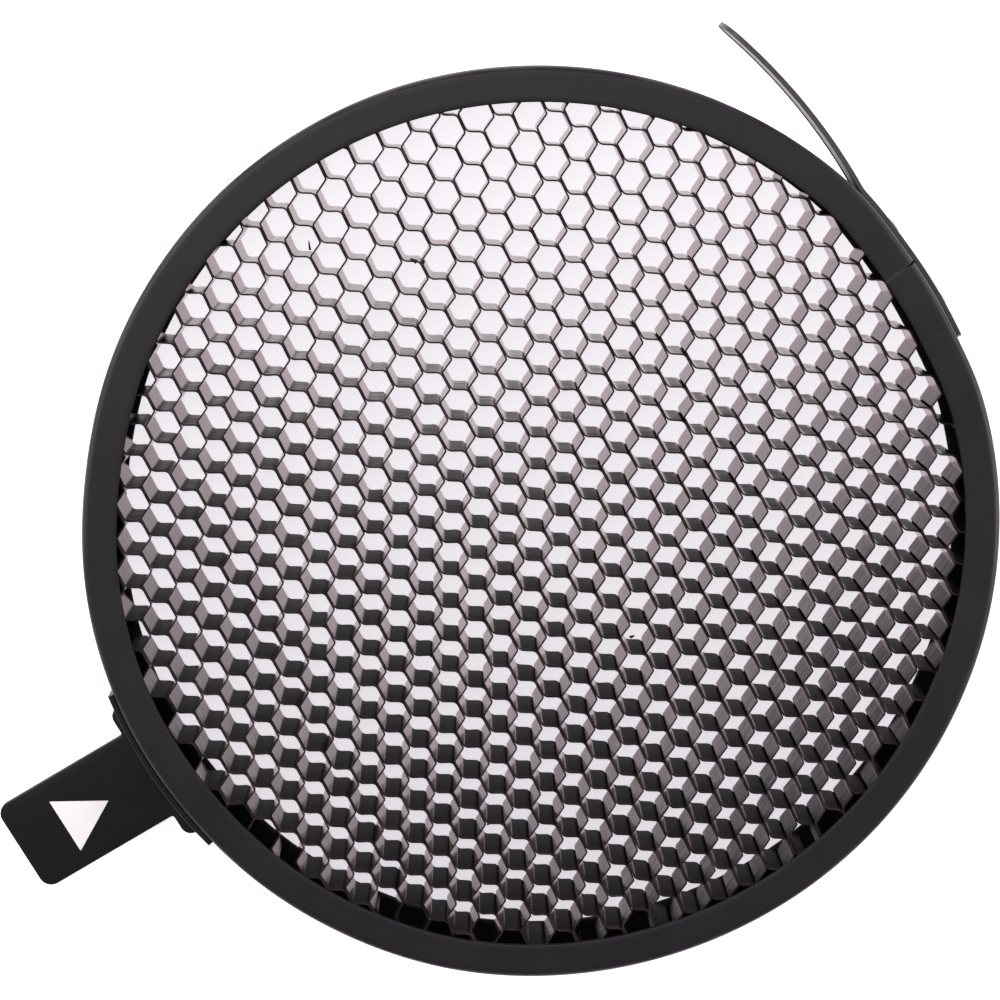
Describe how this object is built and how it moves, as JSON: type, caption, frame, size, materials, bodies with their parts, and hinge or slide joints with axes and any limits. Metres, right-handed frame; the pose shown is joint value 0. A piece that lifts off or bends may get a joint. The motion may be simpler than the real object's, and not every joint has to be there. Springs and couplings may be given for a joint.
{
  "type": "honeycomb grid",
  "caption": "Round black honeycomb light grid: folded steel ring round a core of corrugated foil, with a sprung splice strip and a pull tab marked with an arrow.",
  "frame": {"origin": "middle of the footprint, on the surface the rear flange rests on", "axes": "+Z out of the front face; +X from the pull tab to the splice; +Y towards the free end of the leaf spring"},
  "size_m": [0.215, 0.178, 0.016],
  "materials": {
    "rim_paint": "satin black enamel on folded steel sheet",
    "foil_paint": "matt black paint on thin foil",
    "strip_paint": "thin satin black coat on spring steel strip",
    "rivet_paint": "satin black",
    "tab_plastic": "fine moulded texture",
    "arrow_print": "plain white film"
  },
  "bodies": {
    "root": {"rim_channel": "rim_paint", "foil_ribbons_01": "foil_paint", "foil_ribbons_02": "foil_paint", "foil_ribbons_03": "foil_paint", "foil_ribbons_04": "foil_paint", "foil_ribbons_05": "foil_paint", "foil_ribbons_06": "foil_paint", "foil_ribbons_07": "foil_paint", "foil_ribbons_08": "foil_paint", "foil_ribbons_09": "foil_paint", "foil_ribbons_10": "foil_paint", "foil_ribbons_11": "foil_paint", "foil_ribbons_12": "foil_paint", "foil_ribbons_13": "foil_paint", "foil_ribbons_14": "foil_paint", "foil_ribbons_15": "foil_paint", "foil_ribbons_16": "foil_paint", "foil_ribbons_17": "foil_paint", "foil_ribbons_18": "foil_paint", "foil_ribbons_19": "foil_paint", "foil_ribbons_20": "foil_paint", "foil_ribbons_21": "foil_paint", "foil_ribbons_22": "foil_paint", "foil_ribbons_23": "foil_paint", "foil_ribbons_24": "foil_paint", "foil_ribbons_25": "foil_paint", "foil_ribbons_26": "foil_paint", "foil_ribbons_27": "foil_paint", "splice_strip": "strip_paint", "splice_rivet_1": "rivet_paint", "splice_rivet_2": "rivet_paint", "pull_tab": "tab_plastic", "tab_rivet_1": "rivet_paint", "tab_rivet_2": "rivet_paint", "arrow_label": "arrow_print"},
    "leaf": {"leaf_spring": "strip_paint"}
  },
  "joints": [
    {"name": "leaf_flex", "type": "hinge", "parent": "root", "child": "leaf", "pos_m": [0.1049, 0.01652, 0.008], "axis": [0, 0, 1], "range_deg": [0, 14], "stiffness_Nm_per_rad": 0.15}
  ]
}
